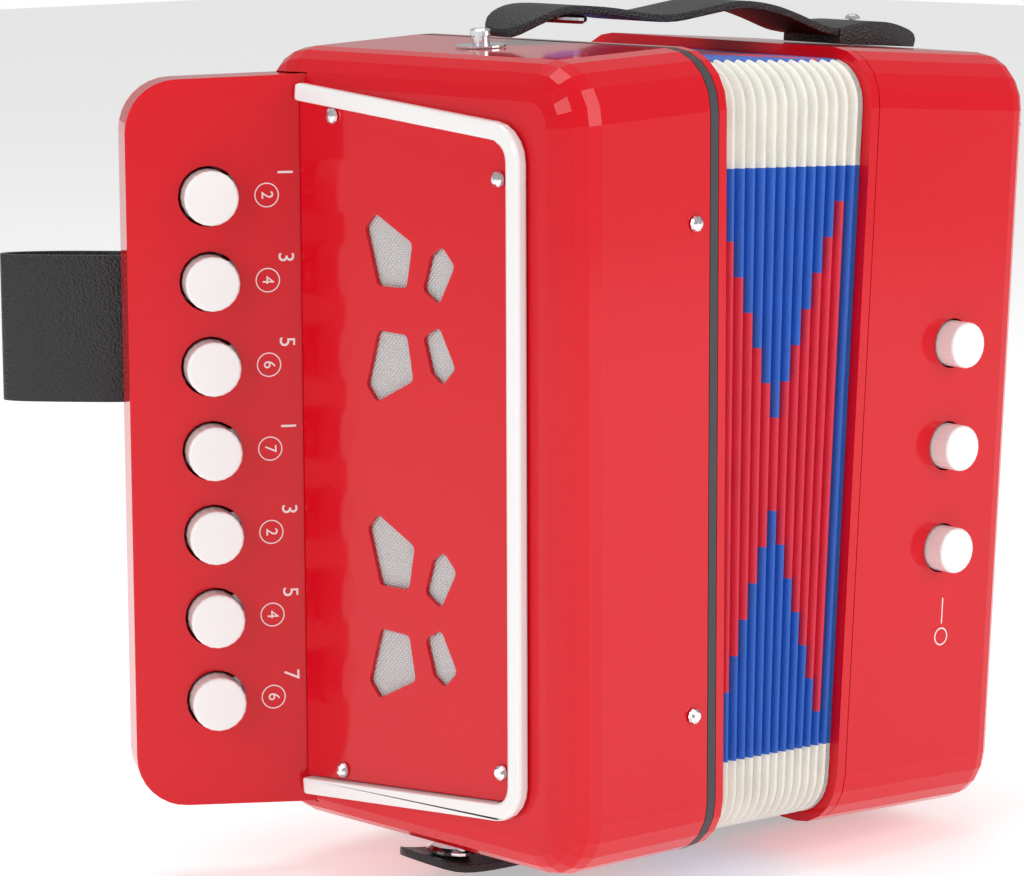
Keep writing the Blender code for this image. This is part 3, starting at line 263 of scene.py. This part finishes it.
GLOSS_RED = finish("gloss_red", (0.66, 0.003, 0.012), 0.1, 0.03, 60.0, 0.02, coat=0.3, specular=0.2)
WHITE = finish("gloss_white", (0.87, 0.87, 0.86), 0.22, 0.03, 90.0, 0.02, coat=0.3)
LEATHER = finish("black_leather", (0.014, 0.014, 0.016), 0.42, 0.5, 1400.0, 0.9, specular=0.45)
CHROME = finish("chrome", (0.82, 0.83, 0.85), 0.12, 0.2, 300.0, 0.03, metallic=1.0)
LEVER = finish("lever_metal", (0.6, 0.6, 0.62), 0.35, 0.2, 500.0, 0.1, metallic=1.0)
WOOD = finish("reed_wood", (0.62, 0.44, 0.25), 0.65, 0.4, 250.0, 0.3)
GASKET = finish("gasket_rubber", (0.045, 0.045, 0.05), 0.6, 0.3, 700.0, 0.2)
RUBBER = finish("foot_rubber", (0.018, 0.018, 0.018), 0.65, 0.3, 700.0, 0.3)
PRINT = finish("white_print", (0.9, 0.78, 0.78), 0.4, 0.05, 500.0, 0.05)
STITCH = finish("thread", (0.03, 0.03, 0.032), 0.7, 0.4, 2500.0, 0.6)
WEAVE = mesh_finish()
BELLOWS = bellows_finish()

SLOT_FINISH = {
    "gloss_red": GLOSS_RED, "white": WHITE, "lever": LEVER, "steel": CHROME, "mesh": WEAVE, "wood": WOOD,
    "gasket": GASKET, "bellows": BELLOWS, "leather": LEATHER, "rubber": RUBBER,
}


def dress_nodes():
    """Every solid gets the finish of its slot."""
    for part in frame["record"]["subparts"]:
        node = frame["nodes"][part["node"]]
        node.data.materials.clear()
        node.data.materials.append(SLOT_FINISH[part["material_slot"]])


def add_piece(name, mesh, surface, body, matrix=None):
    piece = bpy.data.objects.new(name, mesh)
    bpy.context.scene.collection.objects.link(piece)
    if matrix:
        mesh.transform(matrix)
    mesh.materials.clear()
    mesh.materials.append(surface)
    if body:
        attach(piece, body)
    return piece


def soften(name, node, body, width):
    """A leather strap after its solid, with rounded, slightly pressed edges."""
    bm = bmesh.new()
    bm.from_mesh(frame["nodes"][node].data)
    bmesh.ops.remove_doubles(bm, verts=bm.verts, dist=0.00001)
    bmesh.ops.dissolve_limit(bm, angle_limit=math.radians(1), verts=bm.verts, edges=bm.edges)
    sharp = [e for e in bm.edges if len(e.link_faces) == 2 and e.calc_face_angle(0) > math.radians(50)]
    bmesh.ops.bevel(bm, geom=sharp, offset=width, segments=3, profile=0.5, affect="EDGES", clamp_overlap=True)
    bmesh.ops.triangulate(bm, faces=[f for f in bm.faces if len(f.verts) > 4])
    bmesh.ops.recalc_face_normals(bm, faces=bm.faces)
    mesh = bpy.data.meshes.new(name)
    bm.to_mesh(mesh)
    bm.free()
    mesh.shade_smooth()
    mesh.set_sharp_from_angle(angle=math.radians(40))
    piece = add_piece(name, mesh, LEATHER, body)
    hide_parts(node)
    return piece


def rounded_section(inset, steps=8):
    half_y, half_z = BODY_DEPTH / 2 - inset, BODY_HEIGHT / 2 - inset
    radius = max(CORNER_RADIUS - inset, 0.002)
    points = []
    for side_y, side_z, start in ((1, 1, 0), (-1, 1, 90), (-1, -1, 180), (1, -1, 270)):
        for i in range(steps + 1):
            turn = math.radians(start + 90 * i / steps)
            points.append((side_y * (half_y - radius) + radius * math.cos(turn),
                           side_z * (half_z - radius) + radius * math.sin(turn)))
    divided = []
    for first, second in zip(points, points[1:] + points[:1]):
        count = max(1, round(math.dist(first, second) / 0.006))
        for i in range(count):
            divided.append(tuple(a + (b - a) * i / count for a, b in zip(first, second)))
    return divided


def bass_plane(near_x):
    """The bass rim's plane, less its frame, where the bellows ends."""
    x = near_x + BELLOWS_LENGTH + FRAME_THICKNESS + 2 * CLEARANCE
    turn = Matrix.Rotation(BASS_SWING, 4, "Z") @ Matrix.Rotation(BASS_TILT, 4, "Y")
    place = Vector((x, MIDDLE.y + BASS_SHIFT, MIDDLE.z - BASS_DROP))
    return Matrix.Translation(place) @ turn


def pattern_reach(y, z):
    """Distance from the middle of the pattern: up and down on the sides, to and fro on top and bottom."""
    if abs(z) < BODY_HEIGHT / 2 - CORNER_RADIUS:
        return abs(z + 0.0035)
    return 0.09 if abs(y) > BODY_DEPTH / 2 - CORNER_RADIUS else 0.018 + abs(y)


def build_bellows():
    near_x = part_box("treble_frame")[1][0] + CLEARANCE
    near = Matrix.Translation((near_x, MIDDLE.y, MIDDLE.z))
    bass = bass_plane(near_x)
    far = bass @ Matrix.Translation((-FRAME_THICKNESS - 2 * CLEARANCE, 0, 0))
    steps = 6
    rings = []
    for i in range(FOLD_COUNT * steps + 1):
        swell = math.sin(math.pi * (i % steps) / steps) ** 0.6
        inset = FOLD_INSET + FOLD_DEPTH * (1 - swell)
        rings.append((i / steps, FOLD_INSET if i in (0, FOLD_COUNT * steps) else inset))
    rings += [(FOLD_COUNT, BELLOWS_BORE), (0, BELLOWS_BORE)]
    bm = bmesh.new()
    layer = bm.verts.layers.float_vector.new("fold_place")
    loops = []
    for fold, inset in rings:
        loop = []
        for y, z in rounded_section(inset):
            flat = Vector((0.0, y, z))
            vert = bm.verts.new((near @ flat).lerp(far @ flat, fold / FOLD_COUNT))
            vert[layer] = (fold, pattern_reach(y, z), 0.0)
            loop.append(vert)
        loops.append(loop)
    for first, second in zip(loops, loops[1:] + loops[:1]):
        for i in range(len(first)):
            bm.faces.new((first[i - 1], first[i], second[i], second[i - 1]))
    bmesh.ops.recalc_face_normals(bm, faces=bm.faces)
    mesh = bpy.data.meshes.new("bellows_folds")
    bm.to_mesh(mesh)
    bm.free()
    mesh.shade_smooth()
    piece = add_piece("bellows_folds", mesh, BELLOWS, None)
    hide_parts("bellows")
    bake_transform(piece)
    return bass


def keyboard_plane():
    out = Vector((-math.sin(KEYBOARD_ANGLE), math.cos(KEYBOARD_ANGLE), 0.0))
    down = Vector((0.0, 0.0, -1.0))
    toward = down.cross(-out)
    matrix = Matrix((down, -out, toward)).transposed().to_4x4()
    matrix.translation = MIDDLE + Vector((0.0, CREASE_Y, 0.0)) + toward * PRINT_LIFT
    return matrix


def number_mesh(text, size):
    curve = bpy.data.curves.new("number", "FONT")
    curve.body = text
    curve.size = size
    curve.align_x = "CENTER"
    curve.align_y = "CENTER"
    curve.extrude = PRINT_THICKNESS / 2
    guide = bpy.data.objects.new("number", curve)
    bpy.context.scene.collection.objects.link(guide)
    mesh = bpy.data.meshes.new_from_object(guide.evaluated_get(bpy.context.evaluated_depsgraph_get()))
    bpy.data.objects.remove(guide, do_unlink=True)
    return mesh


def ring_mesh(name, radius, width):
    bm = bmesh.new()
    steps = 40
    loops = []
    for r, z in ((radius, 0.0), (radius + width, 0.0), (radius + width, PRINT_THICKNESS), (radius, PRINT_THICKNESS)):
        turns = [2 * math.pi * i / steps for i in range(steps)]
        loops.append([bm.verts.new((r * math.cos(t), r * math.sin(t), z)) for t in turns])
    for first, second in zip(loops, loops[1:] + loops[:1]):
        for i in range(steps):
            bm.faces.new((first[i - 1], first[i], second[i], second[i - 1]))
    bmesh.ops.recalc_face_normals(bm, faces=bm.faces)
    mesh = bpy.data.meshes.new(name)
    bm.to_mesh(mesh)
    bm.free()
    return mesh


def print_numbers():
    plane = keyboard_plane()
    for i, (plain, ringed) in enumerate(zip(PLAIN_NUMBERS, RINGED_NUMBERS)):
        height = (3 - i) * KEY_PITCH - KEY_DROP
        above = plane @ Matrix.Translation((-height - 0.0062, -PLAIN_OFFSET, 0.0))
        beside = plane @ Matrix.Translation((-height, -RINGED_OFFSET, 0.0))
        add_piece(f"key_number_{i + 1}", number_mesh(plain, 0.0062), PRINT, "treble", above)
        add_piece(f"ringed_number_{i + 1}", number_mesh(ringed, 0.0046), PRINT, "treble", beside)
        add_piece(f"number_ring_{i + 1}", ring_mesh(f"number_ring_{i + 1}", 0.0031, 0.0003), PRINT, "treble", beside)


def print_air_line(bass):
    """A short line and an open ring below the air button."""
    x, y = 0.0355, -(BODY_DEPTH / 2 - 0.0355 * math.tan(math.radians(0.7))) - PRINT_LIFT
    front = bass @ Matrix.Translation((x, y, 0.0)) @ Matrix.Rotation(math.radians(90), 4, "X")
    bm = bmesh.new()
    bmesh.ops.create_cube(bm, size=1.0)
    bmesh.ops.scale(bm, vec=(0.0004, 0.0075, PRINT_THICKNESS), verts=bm.verts)
    line = bpy.data.meshes.new("air_line")
    bm.to_mesh(line)
    bm.free()
    add_piece("air_line", line, PRINT, "bass", front @ Matrix.Translation((0.0, -0.0497, 0.0)))
    ring = ring_mesh("air_ring", 0.0022, 0.0004)
    add_piece("air_ring", ring, PRINT, "bass", front @ Matrix.Translation((0.0, -0.0572, 0.0)))


def build_camera():
    yaw, pitch = CAMERA_YAW, CAMERA_PITCH
    ahead = Vector((math.sin(yaw) * math.cos(pitch), math.cos(yaw) * math.cos(pitch), -math.sin(pitch)))
    right = Vector((math.cos(yaw), -math.sin(yaw), 0.0))
    up = right.cross(ahead)
    turned_right = right * math.cos(CAMERA_ROLL) + up * math.sin(CAMERA_ROLL)
    turned_up = up * math.cos(CAMERA_ROLL) - right * math.sin(CAMERA_ROLL)
    data = bpy.data.cameras.new("camera")
    data.lens = CAMERA_LENS
    data.sensor_width = 36.0
    data.sensor_fit = "HORIZONTAL"
    camera = bpy.data.objects.new("camera", data)
    bpy.context.scene.collection.objects.link(camera)
    matrix = Matrix((turned_right, turned_up, -ahead)).transposed().to_4x4()
    matrix.translation = MIDDLE + Vector(CAMERA_PLACE)
    camera.matrix_world = matrix
    bpy.context.scene.camera = camera


def add_lamp(name, place, size, power):
    data = bpy.data.lights.new(name, "AREA")
    data.size = size
    data.energy = power
    lamp = bpy.data.objects.new(name, data)
    bpy.context.scene.collection.objects.link(lamp)
    lamp.location = place
    lamp.rotation_euler = (MIDDLE - Vector(place)).to_track_quat("-Z", "Y").to_euler()


def build_stage():
    """A pale floor that shows as white, a soft surround and three plain lamps."""
    world = bpy.data.worlds.new("studio")
    world.use_nodes = True
    bpy.context.scene.world = world
    tree = world.node_tree
    sky = tree.nodes["Background"]
    path = add_node(tree, "ShaderNodeLightPath")
    strength = add_node(tree, "ShaderNodeMapRange")
    strength.inputs["To Min"].default_value = 0.42
    strength.inputs["To Max"].default_value = 1.0
    tree.links.new(path.outputs["Is Camera Ray"], strength.inputs["Value"])
    tree.links.new(strength.outputs["Result"], sky.inputs["Strength"])
    sky.inputs["Color"].default_value = (1.0, 1.0, 1.0, 1.0)
    made, tree, shader = new_material("pale_floor")
    shader.inputs["Base Color"].default_value = (0.9, 0.9, 0.9, 1.0)
    shader.inputs["Roughness"].default_value = 0.6
    shader.inputs["Emission Color"].default_value = (1.0, 1.0, 1.0, 1.0)
    shader.inputs["Emission Strength"].default_value = 0.4
    bm = bmesh.new()
    bmesh.ops.create_grid(bm, x_segments=1, y_segments=1, size=4.0)
    mesh = bpy.data.meshes.new("floor")
    bm.to_mesh(mesh)
    bm.free()
    mesh.materials.append(made)
    floor = bpy.data.objects.new("floor", mesh)
    bpy.context.scene.collection.objects.link(floor)
    floor.location.z = -0.0002
    add_lamp("front_lamp", (0.35, -1.3, 0.75), 0.9, 8.0)
    add_lamp("left_lamp", (-1.3, -0.1, 0.7), 0.7, 5.0)
    add_lamp("top_lamp", (0.0, 0.2, 1.5), 1.0, 9.0)


build_camera()
dress_nodes()
bass_frame = build_bellows()
for node, body in (("thumb_strap", "treble"), ("hand_strap", "bass"), ("top_strap_tail", "bass"),
                   ("bottom_strap_tail", "bass"), ("top_strap_flap", "top_flap"),
                   ("bottom_strap_flap", "bottom_flap")):
    soften(node + "_leather", node, body, 0.0005)
print_numbers()
print_air_line(bass_frame)
build_stage()
bpy.context.scene.view_settings.view_transform = "Standard"
